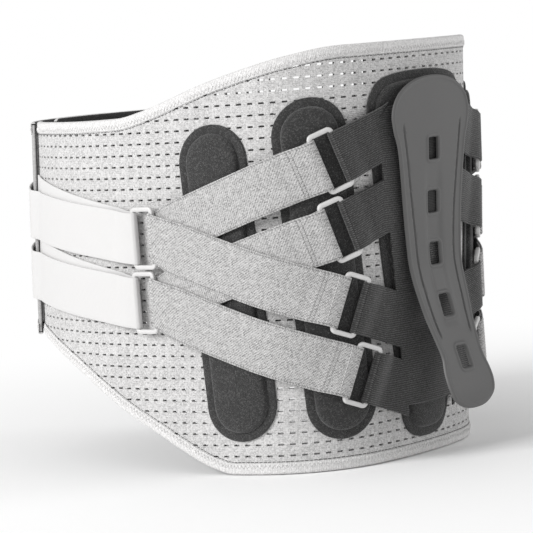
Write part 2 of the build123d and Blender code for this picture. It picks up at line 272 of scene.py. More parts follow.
def symmetric_curve(half, count):
    """A smooth closed curve through half an outline's corners and their mirror images, as count points."""
    half = np.array(half, float)
    corners = np.concatenate([half, half[-2:0:-1] * [-1, 1]])
    before, after, second = (np.roll(corners, k, axis=0) for k in (1, -1, -2))
    t = np.linspace(0, 1, 24, endpoint=False)[:, None, None]
    curve = 0.5 * (2 * corners + (after - before) * t + (2 * before - 5 * corners + 4 * after - second) * t**2
                   + (3 * corners - before - 3 * after + second) * t**3)
    curve = curve.transpose(1, 0, 2).reshape(-1, 2)
    closed = np.concatenate([curve, curve[:1]])
    lengths = lengths_along(closed)
    at = np.linspace(0, lengths[-1], count, endpoint=False)
    return stack(*(np.interp(at, lengths, closed[:, k]) for k in range(2)))


def edge_path(edge, start, end, step=4.0):
    """The upper or lower edge from start to end, as d and z."""
    d = np.linspace(start, end, max(2, int(abs(end - start) / step)))
    return stack(d, edge_height(edge, d))


def outline_between(start, end, low_rise, high_drop, step=5.0):
    """The outline of a panel from start to end, between the belt's edges, anticlockwise in d and z."""
    along = np.linspace(start, end, max(2, int((end - start) / step)) + 1)
    low = stack(along, edge_height(BOTTOM_EDGE, along) + low_rise)
    high = stack(along, edge_height(TOP_EDGE, along) - high_drop)[::-1]

    def upright(a, b):
        count = max(2, int(abs(b[1] - a[1]) / step))
        return [a + (b - a) * k / count for k in range(1, count)]

    return np.array([*low, *upright(low[-1], high[0]), *high, *upright(high[-1], low[0])])


# ---- making meshes --------------------------------------------------------------------------------

def rework(mesh, change):
    """Lets change work on a mesh as a bmesh."""
    work = bmesh.new()
    work.from_mesh(mesh)
    change(work)
    work.to_mesh(mesh)
    work.free()


def face_outward(work):
    bmesh.ops.recalc_face_normals(work, faces=work.faces)


class Piece:
    """The parts of one object. Each has points in metres, faces, cloth coordinates and a material."""

    def __init__(self, name, side="right"):
        self.name = name
        self.side = side
        self.points = []
        self.cloth = []
        self.faces = []
        self.kinds = []
        self.materials = []
        self.count = 0

    def add(self, points, faces, cloth, material):
        points = np.asarray(points, float).reshape(-1, 3)
        if material not in self.materials:
            self.materials.append(material)
        self.points.append(points)
        self.cloth.append(np.asarray(cloth, float).reshape(-1, 3))
        self.faces += [tuple(int(i) + self.count for i in face) for face in faces]
        self.kinds += [self.materials.index(material)] * len(faces)
        self.count += len(points)

    def make(self, slot, sharp=40):
        """The finished object, mirrored if it is a left one. Its edges are sharp from that angle."""
        points = np.concatenate(self.points) * [SIDES[self.side], 1, 1]
        mesh = bpy.data.meshes.new(self.name)
        mesh.from_pydata(points.tolist(), [], self.faces)
        for material in self.materials:
            mesh.materials.append(material)
        mesh.polygons.foreach_set("material_index", self.kinds)
        rework(mesh, face_outward)
        attribute = mesh.attributes.new("cloth", "FLOAT_VECTOR", "POINT")
        attribute.data.foreach_set("vector", (np.concatenate(self.cloth) * MM).astype(np.float32).ravel())
        mesh.polygons.foreach_set("use_smooth", [True] * len(mesh.polygons))
        mesh.set_sharp_from_angle(angle=math.radians(sharp))
        made = bpy.data.objects.new(self.name, mesh)
        bpy.context.scene.collection.objects.link(made)
        return made


def ridden(made, body, node_name):
    """Puts an object on a body of the frame, in place of a CAD node."""
    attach(made, body)
    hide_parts(node_name)
    return made


def at_hinge(made, side, node_name, start=SPLIT_D, end=BEND_END_D):
    """Cloth baked into place in its mesh, in place of a CAD node; the hinge's points at start and end are
    worked out but not used, so the cloth is not bent.
    """
    first, second = (tuple(place(SIDES[side] * d, 0, BEND_Z)) for d in (start, end))
    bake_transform(made)
    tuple(first)
    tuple(second)
    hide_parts(node_name)


def sweep(sections, closed=False):
    """Faces of a tube through sections, an array of station, corner and xyz."""
    stations, corners = sections.shape[:2]
    index = np.arange(stations * corners).reshape(stations, corners)
    ahead = np.roll(index, -1, axis=1)
    here, there = (slice(None), np.roll(np.arange(stations), -1)) if closed else (slice(0, -1), slice(1, None))
    quads = stack(index[here], ahead[here], ahead[there], index[there]).reshape(-1, 4)
    faces = [tuple(q) for q in quads]
    if not closed:
        faces += [tuple(index[0][::-1]), tuple(index[-1])]
    return faces


def web_section(width, thick, across=12):
    """The outline of a strap's section, as v across it and w through it, with rounded edges."""
    half = width / 2
    bevel = thick * 0.42
    flat = np.linspace(-half + bevel, half - bevel, across)
    turn = np.linspace(-math.pi / 2, math.pi / 2, 6)[1:-1]
    right_v = half - bevel + bevel * np.cos(turn)
    right_w = thick / 2 + thick / 2 * np.sin(turn)
    v = np.concatenate([flat, right_v, flat[::-1], -right_v[::-1]])
    w = np.concatenate([np.zeros(across), right_w, np.full(across, thick), right_w[::-1]])
    return v, w


def add_web(piece, where, stations, material, width=WEBBING, thick=WEB_THICK):
    """A strap: where(s, v, w) gives points for the stations s."""
    v, w = web_section(width, thick)
    s = np.asarray(stations, float)[:, None]
    points = where(s, v, w)
    piece.add(points, sweep(points), stack(s, v, w), material)


def add_thread(piece, line, material, radius):
    """A thread of four sides along a line of points in metres."""
    forward = np.gradient(line, axis=0)
    forward /= np.linalg.norm(forward, axis=1)[:, None] + 1e-12
    guide = np.where(np.abs(forward[:, 2:]) > 0.9, [[1.0, 0, 0]], [[0, 0, 1.0]])
    a = np.cross(forward, guide)
    a /= np.linalg.norm(a, axis=1)[:, None] + 1e-12
    b = np.cross(forward, a)
    turn = np.linspace(0, 2 * math.pi, 4, endpoint=False)[None, :, None]
    points = line[:, None] + (a[:, None] * np.cos(turn) + b[:, None] * np.sin(turn)) * radius * MM
    cloth = stack(np.arange(len(line))[:, None] * 0.4, np.zeros(4), 0.0)
    piece.add(points, sweep(points), cloth, material)


def add_dashes(piece, where, start, end, material, pitch=2.9, radius=0.24, sink=0.25):
    """A row of stitches from start to end, where where(t, lift) gives points in metres along the row."""
    count = max(1, int(abs(end - start) / pitch))
    for number in range(count):
        a = start + (end - start) * (number + 0.1) / count
        b = start + (end - start) * (number + 0.9) / count
        t = np.array([a, a + (b - a) * 0.12, (a + b) / 2, b - (b - a) * 0.12, b])
        lift = np.array([-sink, 0.08, 0.16, 0.08, -sink])
        add_thread(piece, where(t, lift), material, radius)


def filled(piece, outline, top, under, rim, material, step, holes=(), extra=(), weave=None):
    """A closed slab over a flat outline. top(flat, drop) and under(flat, drop) give points in metres, rim lists
    how far inside the edge and how much lower each rim loop is, and holes are loops that go right through."""
    loops = [(outline, squarely_in(outline))] + [(hole, -squarely_in(hole)) for hole in holes]
    borders = [loop + inward * rim[-1][0] for loop, inward in loops]
    low, high = borders[0].min(axis=0), borders[0].max(axis=0)
    xs = np.arange(low[0] + step / 2, high[0], step)
    zs = np.arange(low[1] + step / 2, high[1], step)
    grid = np.array([(x, z) for x in xs for z in zs] + [tuple(spot) for spot in extra]).reshape(-1, 2)

    def in_hole(spots):
        return np.any([np.zeros(len(spots), bool)] + [inside(hole, spots) for hole in borders[1:]], axis=0)

    starts = np.cumsum([0] + [len(border) for border in borders[:-1]])
    edges = [(int(start + k), int(start + (k + 1) % len(border)))
             for start, border in zip(starts, borders) for k in range(len(border))]
    verts = np.concatenate(borders + [grid[inside(borders[0], grid) & ~in_hole(grid)]])
    made = delaunay_2d_cdt([Vector(v) for v in verts], edges, [list(range(len(borders[0])))], 1, 1e-5)
    spots = np.array([tuple(v) for v in made[0]])
    centres = np.array([spots[face].mean(axis=0) for face in made[2]])
    faces = [tuple(face) for face, lost in zip(made[2], in_hole(centres)) if not lost]
    at_border = {original: number for number, names in enumerate(made[3]) for original in names}
    flat = [spots]
    drops = [np.full(len(spots), rim[-1][1])]
    total = len(spots)
    walls = []
    for (loop, inward), start in zip(loops, starts):
        n = len(loop)
        rings = []
        for inset, drop in rim[:-1]:
            flat.append(loop + inward * inset)
            drops.append(np.full(n, drop))
            rings.append(list(range(total, total + n)))
            total += n
        rings.append([at_border[start + k] for k in range(n)])
        for outer, nearer in zip(rings, rings[1:]):
            faces += [(outer[k], outer[(k + 1) % n], nearer[(k + 1) % n], nearer[k]) for k in range(n)]
        walls.append(rings[0])
    flat = np.concatenate(flat)
    drops = np.concatenate(drops)
    points = np.concatenate([top(flat, drops), under(flat, drops)])
    both = faces + [tuple(i + total for i in face[::-1]) for face in faces]
    for ring in walls:
        ahead = ring[1:] + ring[:1]
        both += [(b, a, a + total, b + total) for a, b in zip(ring, ahead)]
    cloth = np.c_[flat, np.zeros(total)] if weave is None else weave(flat)
    piece.add(points, both, np.concatenate([cloth, cloth]), material)


def slab(name, side, outline, r_in, r_out, material, step=7.0):
    """A piece that is a cloth slab on the belt inside an outline of d and z, with a rounded rim."""
    thick = r_out - r_in
    rim = [(0.0, 0.5 * thick), (0.15 * thick, 0.18 * thick), (0.45 * thick, 0.0)]
    piece = Piece(name, side)
    filled(piece, outline, lambda flat, drop: place(flat[:, 0], r_out - drop, flat[:, 1]),
           lambda flat, drop: place(flat[:, 0], r_in + drop * 0.5, flat[:, 1]), rim, material, step)
    return piece


# ---- materials ------------------------------------------------------------------------------------

def node(tree, kind, inputs=(), **settings):
    """A node with its settings, and its inputs given as numbers, colours, Values or other nodes' outputs."""
    made = tree.nodes.new(kind)
    for key, value in settings.items():
        setattr(made, key, value)
    for key, value in dict(inputs).items():
        value = value.socket if isinstance(value, Value) else value
        if isinstance(value, bpy.types.NodeSocket):
            tree.links.new(value, made.inputs[key])
        else:
            made.inputs[key].default_value = value
    return made


class Value:
    """A number that varies over a material."""

    def __init__(self, tree, socket):
        self.tree = tree
        self.socket = socket

    def by(self, operation, other=0.0):
        made = node(self.tree, "ShaderNodeMath", {0: self, 1: other}, operation=operation)
        return Value(self.tree, made.outputs[0])

    def __add__(self, other):
        return self.by("ADD", other)

    def __sub__(self, other):
        return self.by("SUBTRACT", other)

    def __mul__(self, other):
        return self.by("MULTIPLY", other)

    def wave(self, pitch_mm, sharp=1.0):
        """A sine from 0 to 1 of a length in metres, repeating every pitch."""
        level = (self * (2 * math.pi / (pitch_mm * MM))).by("SINE") * 0.5 + 0.5
        return level.by("POWER", sharp) if sharp != 1.0 else level


class Look:
    """A material. In metres, u runs along its cloth, v across it and w through it."""

    def __init__(self, name, rough):
        self.material = bpy.data.materials.new(name)
        self.material.use_nodes = True
        self.tree = self.material.node_tree
        self.surface = self.tree.nodes["Principled BSDF"]
        self.surface.inputs["Roughness"].default_value = rough
        self.vector = node(self.tree, "ShaderNodeAttribute", attribute_name="cloth").outputs["Vector"]
        self.u, self.v, self.w = self.split(self.vector)

    def split(self, vector):
        parts = node(self.tree, "ShaderNodeSeparateXYZ", {0: vector})
        return [Value(self.tree, output) for output in parts.outputs]

    def noise(self, size_mm, detail):
        settings = {"Vector": self.vector, "Scale": 1000.0 / size_mm, "Detail": detail}
        return Value(self.tree, node(self.tree, "ShaderNodeTexNoise", settings).outputs["Fac"])

    def speckle(self, size_mm):
        """Random grains of about that size, from 0 to 1."""
        settings = {"Vector": self.vector, "Scale": 1000.0 / size_mm, "Randomness": 1.0}
        return self.split(node(self.tree, "ShaderNodeTexVoronoi", settings).outputs["Color"])[0]

    def ramp(self, level, stops):
        """A colour ramp of (position, grey) stops, slightly warm."""
        made = node(self.tree, "ShaderNodeValToRGB", {0: level})
        elements = made.color_ramp.elements
        for number, (position, grey) in enumerate(stops):
            element = elements[number] if number < 2 else elements.new(position)
            element.position = position
            element.color = (grey, grey * 0.99, grey * 0.985, 1)
        return made.outputs[0]

    def finish(self, colour, height=None, depth_mm=0.1, sheen=0.0, specular=0.25):
        """Connects the colour and a bump of that depth, and gives the material."""
        self.tree.links.new(colour, self.surface.inputs["Base Color"])
        if height is not None:
            bump = node(self.tree, "ShaderNodeBump",
                        {"Height": height, "Strength": 1.0, "Distance": depth_mm * MM})
            self.tree.links.new(bump.outputs[0], self.surface.inputs["Normal"])
        self.surface.inputs["Sheen Weight"].default_value = sheen
        self.surface.inputs["Sheen Roughness"].default_value = 0.5
        self.surface.inputs["Specular IOR Level"].default_value = specular
        return self.material


def knit_material():
    """The panels' light knit: rows of fine loops with paler and darker yarns."""
    cloth = Look("knit", 0.85)
    rows = cloth.v.wave(1.3)
    loops = rows * (cloth.u + rows * 0.0005).wave(1.15)
    grains = cloth.speckle(0.95)
    level = grains * 0.48 + loops * 0.32 + cloth.noise(26, 3) * 0.22
    colour = cloth.ramp(level, [(0.10, 0.34), (0.32, 0.50), (0.60, 0.63), (0.95, 0.76)])
    return cloth.finish(colour, loops + grains * 0.5, 0.22, 0.15)


def lining_material():
    """The lining's dark knit."""
    cloth = Look("lining", 0.9)
    level = cloth.u.wave(1.1) * cloth.v.wave(1.1) * 0.5 + cloth.speckle(0.8) * 0.5
    return cloth.finish(cloth.ramp(level, [(0.1, 0.022), (0.6, 0.045), (1.0, 0.085)]), level, 0.2, 0.2)


def tape_material(name, low, high, rib=0.9):
    """Woven tape with fine ribs across it."""
    cloth = Look(name, 0.8)
    level = cloth.u.wave(rib) * 0.45 + cloth.speckle(0.7) * 0.55
    return cloth.finish(cloth.ramp(level, [(0.05, low), (0.9, high)]), level, 0.14, 0.1)


def elastic_material():
    """Elastic webbing: a fine diagonal weave, with a darker stitch line inside each edge."""
    cloth = Look("elastic", 0.78)
    weave = (cloth.u + cloth.v * 0.8).wave(1.9) * (cloth.u - cloth.v * 1.1).wave(1.5)
    off_seam = (cloth.v.by("ABSOLUTE") - (WEBBING / 2 - 1.3) * MM).by("ABSOLUTE")
    dots = off_seam.by("LESS_THAN", 0.42 * MM) * cloth.u.wave(1.9).by("GREATER_THAN", 0.45)
    level = weave * 0.55 + cloth.speckle(0.8) * 0.42 - dots * 0.42
    colour = cloth.ramp(level, [(0.0, 0.17), (0.25, 0.37), (0.55, 0.52), (0.95, 0.70)])
    return cloth.finish(colour, level, 0.16, 0.1)


def white_web_material():
    """Smooth white webbing with a very fine rib."""
    cloth = Look("white_web", 0.6)
    ribs = cloth.v.wave(0.8)
    weft = cloth.u.wave(0.7)
    level = ribs * weft * 0.75 + cloth.noise(14, 2) * 0.15
    return cloth.finish(cloth.ramp(level, [(0.1, 0.59), (0.8, 0.66)]), ribs + weft, 0.05, 0.1)


def comb_material():
    """Black ribbed webbing, its ribs along the tabs, with painted highlight: the rib crests are painted
    lighter.
    """
    cloth = Look("ribbed", 0.72)
    ribs = (cloth.v + cloth.noise(3.2, 1) * 0.0007).wave(1.45, 1.6)
    # painted highlight: the rib crests and the grains on them are lighter in colour, as light along the ribs;
    # the dark between them is the webbing's own colour
    level = ribs * cloth.u.wave(1.05) * 0.5 + cloth.speckle(0.7) * 0.35 + ribs * 0.2
    return cloth.finish(cloth.ramp(level, [(0.05, 0.018), (0.5, 0.048), (1.0, 0.16)]), level, 0.3, 0.25)


def foam_material():
    """Black moulded foam under a short nap."""
    cloth = Look("foam", 0.85)
    grains = cloth.speckle(0.62)
    fine = cloth.noise(0.9, 3)
    level = grains.by("POWER", 2.2) * 0.55 + fine * 0.3 + cloth.noise(18, 2) * 0.12
    colour = cloth.ramp(level, [(0.12, 0.019), (0.5, 0.036), (0.95, 0.115)])
    return cloth.finish(colour, grains + fine, 0.22, 0.3)


def plastic_material(name, base, rough, grain_mm, depth_mm):
    """Moulded plastic with a fine sprayed grain and slight unevenness in its gloss."""
    plastic = Look(name, rough)
    plastic.vector = node(plastic.tree, "ShaderNodeTexCoord").outputs["Object"]
    fine = plastic.noise(grain_mm, 3)
    broad = plastic.noise(22, 2)
    colour = plastic.ramp(fine * 0.5 + broad * 0.5, [(0.3, base * 0.92), (0.7, base * 1.08)])
    gloss = broad * 0.16 + (rough - 0.08)
    plastic.tree.links.new(gloss.socket, plastic.surface.inputs["Roughness"])
    return plastic.finish(colour, fine, depth_mm, specular=0.5)


def thread_material(name, level):
    """Twisted sewing thread."""
    thread = Look(name, 0.6)
    return thread.finish(thread.ramp(thread.u.wave(0.7), [(0.0, level * 0.75), (1.0, level)]))


def hook_material():
    """Hook pile: a field of tiny stiff hooks."""
    cloth = Look("hook_pile", 0.55)
    hooks = cloth.u.wave(1.1) * cloth.v.wave(1.1)
    return cloth.finish(cloth.ramp(hooks, [(0.1, 0.015), (0.9, 0.09)]), hooks, 0.4)


def edge_tape_material():
    """The folded edge tape: pale ribs outside, and the lining's dark knit over its inner leg."""
    cloth = Look("edge_tape", 0.8)
    level = cloth.u.wave(1.2) * 0.45 + cloth.speckle(0.8) * 0.55
    pale = cloth.ramp(level, [(0.05, 0.48), (0.9, 0.78)])
    dark = cloth.ramp(level, [(0.1, 0.022), (0.9, 0.075)])
    inner = cloth.w.by("GREATER_THAN", 0.80 * MM)
    mixed = node(cloth.tree, "ShaderNodeMix", {0: inner, 6: pale, 7: dark}, data_type="RGBA")
    return cloth.finish(mixed.outputs[2], level, 0.14, 0.1)


KNIT = knit_material()
DARK_KNIT = lining_material()
EDGE_TAPE = edge_tape_material()
DARK_TAPE = tape_material("dark_tape", 0.10, 0.22)
FRONT_CLOTH = tape_material("front_cloth", 0.30, 0.44, 1.6)
LOOP_CLOTH = tape_material("loop_cloth", 0.20, 0.56, 2.1)
ELASTIC = elastic_material()
WHITE_WEB = white_web_material()
RIBBED = comb_material()
FOAM = foam_material()
HOOK_PILE = hook_material()
PLATE_PLASTIC = plastic_material("plate_plastic", 0.095, 0.5, 0.8, 0.02)
RING_PLASTIC = plastic_material("ring_plastic", 0.60, 0.38, 1.2, 0.015)
PALE_THREAD = thread_material("pale_thread", 0.80)
GREY_THREAD = thread_material("grey_thread", 0.34)
DARK_THREAD = thread_material("dark_thread", 0.06)


# ---- perforated cloth -------------------------------------------------------------------------------

def half_steps(start, pitch, low, high):
    """The hole pattern's lines and the lines midway between them, from before low to after high."""
    first = math.floor((low - start) / pitch)
    last = math.ceil((high - start) / pitch)
    return start + (np.arange(2 * first - 1, 2 * last + 2) / 2) * pitch


def drop_slivers(work):
    bmesh.ops.dissolve_degenerate(work, dist=1e-6, edges=work.edges)
    bmesh.ops.delete(work, geom=[v for v in work.verts if not v.link_faces], context="VERTS")


def perforated(name, side, start, end, r_in, r_out, material, slot):
    """A cloth panel from start to end, cut to the belt's edges, with rows of dash-shaped holes through it.
    One that starts in the middle of the back has a second, mirrored half."""
    d = np.clip(half_steps(HOLE_START[0], HOLE_PITCH[0], start, end), start, end)
    z = half_steps(HOLE_START[1], HOLE_PITCH[1], 0, HEIGHT)
    low = edge_height(BOTTOM_EDGE, d) + TUCK
    high = edge_height(TOP_EDGE, d) - TUCK
    grid_z = np.clip(z[None, :], low[:, None], high[:, None])
    columns, rows = grid_z.shape
    count = columns * rows
    index = np.arange(count).reshape(columns, rows)
    flat = [stack(d[:, None], grid_z).reshape(-1, 2)]
    a, b = HOLE_SIZE[0] / 2, HOLE_SIZE[1] / 2
    rim = np.array([(-0.88 * a, -b), (0, -b), (0.88 * a, -b), (a, 0),
                    (0.88 * a, b), (0, b), (-0.88 * a, b), (-a, 0)])
    round_cell = [(0, 0), (1, 0), (2, 0), (2, 1), (2, 2), (1, 2), (0, 2), (0, 1)]
    faces = []
    walls = []
    for i in range(0, columns - 2, 2):
        if d[i + 2] - d[i] < 0.01:
            continue
        whole_d = d[i + 2] - d[i] > HOLE_PITCH[0] - 0.01
        for j in range(0, rows - 2, 2):
            if np.ptp(grid_z[i, j:j + 3]) < 0.01 and np.ptp(grid_z[i + 2, j:j + 3]) < 0.01:
                continue
            ring = [int(index[i + p, j + q]) for p, q in round_cell]
            clear = min(high[i:i + 3]) - z[j + 1] > HOLE_CLEAR and z[j + 1] - max(low[i:i + 3]) > HOLE_CLEAR
            if whole_d and clear and grid_z[i + 1, j + 1] == z[j + 1]:
                hole = list(range(count, count + 8))
                count += 8
                flat.append(rim + (d[i + 1], z[j + 1]))
                for k in range(8):
                    n = (k + 1) % 8
                    faces.append((ring[k], ring[n], hole[n], hole[k]))
                    walls.append((hole[n], hole[k]))
            else:
                centre = int(index[i + 1, j + 1])
                faces += [(ring[k], ring[(k + 1) % 8], centre) for k in range(8)]
    flat = np.concatenate(flat)
    edges = {(face[k - 1], face[k]): None for face in faces for k in (*range(1, len(face)), 0)}
    border = [(k, n) for k, n in edges if (n, k) not in edges and (k, n) not in set(walls)]
    total = len(flat)
    both = faces + [tuple(i + total for i in face[::-1]) for face in faces]
    both += [(k, n, n + total, k + total) for k, n in border + walls]
    points = np.concatenate([place(flat[:, 0], r, flat[:, 1]) for r in (r_out, r_in)])
    cloth = np.concatenate([np.c_[flat, np.full(total, r)] for r in (r_out, r_in)])
    piece = Piece(name, side)
    for mirror in (1, -1) if start == 0 else (1,):
        piece.add(points * [mirror, 1, 1], both, cloth * [mirror, 1, 1], material)
    made = piece.make(slot, 50)
    rework(made.data, drop_slivers)
    return made


def make_panels():
    """The perforated panels and the dark lining behind them."""
    knit = (-PANEL, 0, KNIT, "mesh_fabric")
    dark = (STACK_IN, -PANEL - GAP, DARK_KNIT, "dark_lining")
    ridden(perforated("knit_back", "right", 0, SPLIT_D, *knit), "back", "back_panel")
    lining = ridden(perforated("lining_back", "right", 0, SPLIT_D, *dark), "back", "back_lining")
    for side in SIDES:
        at_hinge(perforated("knit_" + side, side, SPLIT_D, FRONT_D, *knit), side, "side_panel_" + side)
        lining = perforated("lining_" + side, side, SPLIT_D, FRONT_D, *dark)
        at_hinge(lining, side, "side_lining_" + side)


# ---- folded edge tape --------------------------------------------------------------------------------

def add_tape(piece, path, r_in, r_out):
    """Tape folded over an edge along path, whose left is the cloth's side, with its stitches."""
    width = BINDING_WIDTH
    inward = inward_of(path)
    lengths = lengths_along(path)
    low, high = r_in - TAPE_WALL - GAP, r_out + TAPE_WALL + GAP
    middle, reach = (low + high) / 2, (high - low) / 2
    outer_h = np.array([width, width - 0.4, width * 0.6, 2.2])
    outer_r = np.array([high - 0.25, high, high + 0.12, high])
    turn = np.radians(np.linspace(70, -70, 7))
    slit = [(width, r_in - GAP), (1.2, r_in - GAP), (1.2, r_out + GAP), (width, r_out + GAP)]
    slit_h, slit_r = np.array(slit).T
    h = np.concatenate([outer_h, 1.8 - 1.8 * np.cos(turn), outer_h[::-1], slit_h])
    r = np.concatenate([outer_r, middle + reach * np.sin(turn), 2 * middle - outer_r[::-1], slit_r])
    points = place(path[:, :1] + inward[:, :1] * h, r, path[:, 1:] + inward[:, 1:] * h)
    piece.add(points, sweep(points), stack(lengths[:, None], h, (high - r) / (high - low)), EDGE_TAPE)

    def along(s, h, r):
        at_d, at_z, in_d, in_z = (np.interp(s, lengths, values) for values in (*path.T, *inward.T))
        return place(at_d + in_d * h, r, at_z + in_z * h)

    steps = np.arange(1.0, lengths[-1] - 1.0, 1.5)
    swing = np.where(np.arange(len(steps)) % 2, 4.4, width - 1.0)
    for face_r, thread in ((high + 0.18, PALE_THREAD), (low - 0.18, DARK_THREAD)):
        add_thread(piece, along(steps, swing, face_r), thread, 0.26)
    for face_r, sign in ((r_out, 1), (r_in, -1)):
        add_dashes(piece, lambda t, lift: along(t, width + 0.9, face_r + sign * lift),
                   1.0, lengths[-1] - 1.0, DARK_THREAD, 3.2, 0.22, 0.1)


def make_bindings():
    """The tape round the long edges, in one piece for the back and one for each wing."""
    for place_name, edge, sign in (("top", TOP_EDGE, -1), ("bottom", BOTTOM_EDGE, 1)):
        piece = Piece("tape_back_" + place_name)
        add_tape(piece, edge_path(edge, -sign * SPLIT_D, sign * SPLIT_D), STACK_IN, 0)
        ridden(piece.make("edge_tape", 35), "back", "back_binding_" + place_name)
        for side in SIDES:
            piece = Piece("tape_%s_%s" % (place_name, side), side)
            add_tape(piece, edge_path(edge, *(SPLIT_D, FRONT_D)[::sign]), STACK_IN, 0)
            at_hinge(piece.make("edge_tape", 35), side, "side_binding_%s_%s" % (place_name, side))


# ---- the front ---------------------------------------------------------------------------------------

def front_edge(start, end, corner=6):
    """The edge of a front from its start round its end and back, with rounded corners."""
    low = edge_path(BOTTOM_EDGE, start, end - corner)
    high = edge_path(TOP_EDGE, end - corner, start)
    low_z, high_z = low[-1, 1], high[0, 1]
    return np.concatenate([low, arc(end - corner, low_z + corner, corner, -75, 0, 6),
                           stack(end, np.linspace(low_z + 10, high_z - 10, 24)),
                           arc(end - corner, high_z - corner, corner, 0, 75, 6), high])


def make_front():
    """The smooth front panels with their edge tape, loop cloth and seam tape, and the hooks between them."""
    end = HALF + LAP
    for side, (r_in, r_out) in FRONT_R.items():
        wing = "wing_" + side
        start = FRONT_START[side]
        outline = outline_between(start, end - 1, TUCK, TUCK)
        piece = slab("front_cloth_" + side, side, outline, r_in, r_out, FRONT_CLOTH)
        ridden(piece.make("front_fabric"), wing, "front_panel_" + side)
        piece = Piece("front_tape_" + side, side)
        add_tape(piece, front_edge(start, end), r_in, r_out)
        ridden(piece.make("edge_tape", 35), wing, "front_binding_" + side)
        outline = outline_between(FRONT_D + 8, end - 9, 14, 22)
        piece = slab("loop_cloth_" + side, side, outline, r_out + 0.05, r_out + 0.95, LOOP_CLOTH)
        ridden(piece.make("loop_cloth"), wing, "loop_patch_" + side)
        outline = outline_between(FRONT_D - 11, SEAM_END[side], 9, 9)
        piece = slab("seam_" + side, side, outline, *SEAM_R[side], DARK_TAPE, 4.0)
        for d in (FRONT_D - 9.3, FRONT_D - 2.0):
            add_dashes(piece, lambda t, lift: place(d, SEAM_R[side][1] + lift, t),
                       outline[:, 1].min() + 3, outline[:, 1].max() - 3, GREY_THREAD)
        ridden(piece.make("dark_tape"), wing, "seam_tape_" + side)
    outline = outline_between(HALF - LAP + 10, end - 9, 16, 24)
    piece = slab("front_hooks", "left", outline, 1.05, 2.1, HOOK_PILE)
    ridden(piece.make("hook_tape"), "wing_left", "front_hook_pad")


# ---- pads --------------------------------------------------------------------------------------------

def merge_crown(work):
    """Joins the points that meet on a pad's middle line."""
    bmesh.ops.remove_doubles(work, verts=work.verts, dist=5e-5)
    face_outward(work)


def make_pad(name, side, ring_at, last_inset, node_name):
    """A moulded pad: ring_at(inset) gives its outline that far inside its edge, as d and z."""
    steps = [step for step in PAD_STEPS if step[0] < last_inset] + [(last_inset, PAD_CROWN)]
    fine = finer(np.array(steps), 1.2, lambda way: way[0])
    base = (0.0, 0.0)
    insets, heights = np.array([base, *fine]).T
    d, z = np.array([ring_at(inset) for inset in insets]).transpose(2, 0, 1)
    points = place(d, GAP + heights[:, None], z)
    weave = stack(d, z, np.maximum(heights, fine[0][1])[:, None])
    piece = Piece(name, side)
    piece.add(points, sweep(points)[:-1], weave, FOAM)
    made = piece.make("black_foam", 60)
    rework(made.data, merge_crown)
    made.data.polygons.foreach_set("use_smooth", [True] * len(made.data.polygons))
    ridden(made, "back", node_name)


def capsule_ring(d, z, width, length, inset, count=180):
    """A stay pad's outline, that far inside its edge, leaning forward."""
    radius = max(width / 2 - inset, 0.02)
    straight = (length - width) / 2
    rise = np.linspace(straight, -straight, count // 6 + 2)[1:-1]
    half = np.concatenate([arc(0, straight, radius, 0, 180, count // 3), stack(-radius, rise)])
    x, y = np.concatenate([half, -half]).T
    turn = math.radians(PAD_LEAN)
    return stack(d + x * math.cos(turn) + y * math.sin(turn), z + y * math.cos(turn) - x * math.sin(turn))


def make_pads():
    """The four stay pads and the pad over the spine."""
    for side in SIDES:
        for name, size in PADS.items():
            make_pad("foam_%s_%s" % (name, side), side, lambda inset: capsule_ring(*size, inset),
                     size[2] / 2 - 0.05, "pad_%s_%s" % (name, side))
    loop = symmetric_curve(CENTRE_PAD, 240)
    inward = squarely_in(loop)
    spine = stack(0.0, np.clip(loop[:, 1], 40, 225))
    square_in, last = 12, 26     # the rings keep their distance at first, then draw in to the spine

    def ring_at(inset):
        if inset <= square_in:
            return loop + inward * inset
        start = loop + inward * square_in
        return start + (spine - start) * (inset - square_in) / (last - square_in)

    make_pad("foam_centre", "right", ring_at, last - 0.05, "centre_pad")


# ---- rings and straps --------------------------------------------------------------------------------

def anchor_slope(number):
    """The slope of an elastic arm, in degrees, from its anchor ring to its pull ring's bar."""
    d0, z0 = ANCHORS[number]
    d1, z1 = PULLS[number % 2]
    return math.degrees(math.atan2(z1 - z0, d1 - PULL_REACH - d0))


def anchor_plane(number):
    d, z = ANCHORS[number]
    return Plane(d, ANCHOR_R, z, anchor_slope(number))


def pull_plane(number):
    d, z = PULLS[number]
    return Plane(d, PULL_R, z)


def fold_round(plane, bar_x, side):
    """A strap's fold half round a ring's bar at x = bar_x, on the side that it comes from, -1 or 1."""
    return lambda s, v, w: plane.at(bar_x + side * np.sin(s) * (HUG + w), v, np.cos(s) * (HUG + w))


def add_ring(piece, plane, depth, power=0.62):
    """A moulded rectangular loop of bar, whose section lies between a square and a circle."""
    path = rounded_loop((depth - BAR) / 2, (RING_INSIDE + BAR) / 2, 2.3, 9)
    outward = -squarely_in(path)
    turn = np.linspace(0, 2 * math.pi, 16, endpoint=False)
    across, through = (BAR / 2 * np.sign(wave) * np.abs(wave) ** power for wave in (np.cos(turn), np.sin(turn)))
    x = path[:, :1] + outward[:, :1] * across
    y = path[:, 1:] + outward[:, 1:] * across
    points = plane.at(x, y, through)
    piece.add(points, sweep(points, closed=True), stack(x, y, through), RING_PLASTIC)


def make_rings():
    """The anchor rings on the back and the pull rings on the wings."""
    for side in SIDES:
        for number in range(len(ANCHORS)):
            piece = Piece("ring_%d_%s" % (number + 1, side), side)
            add_ring(piece, anchor_plane(number), ANCHOR_DEPTH)
            ridden(piece.make("white_plastic", 60), "back", "anchor_ring_%d_%s" % (number + 1, side))
        for number, level in enumerate(LEVELS):
            piece = Piece("pull_%s_%s" % (level, side), side)
            add_ring(piece, pull_plane(number), PULL_DEPTH)
            ridden(piece.make("white_plastic", 60), "wing_" + side, "pull_ring_%s_%s" % (level, side))


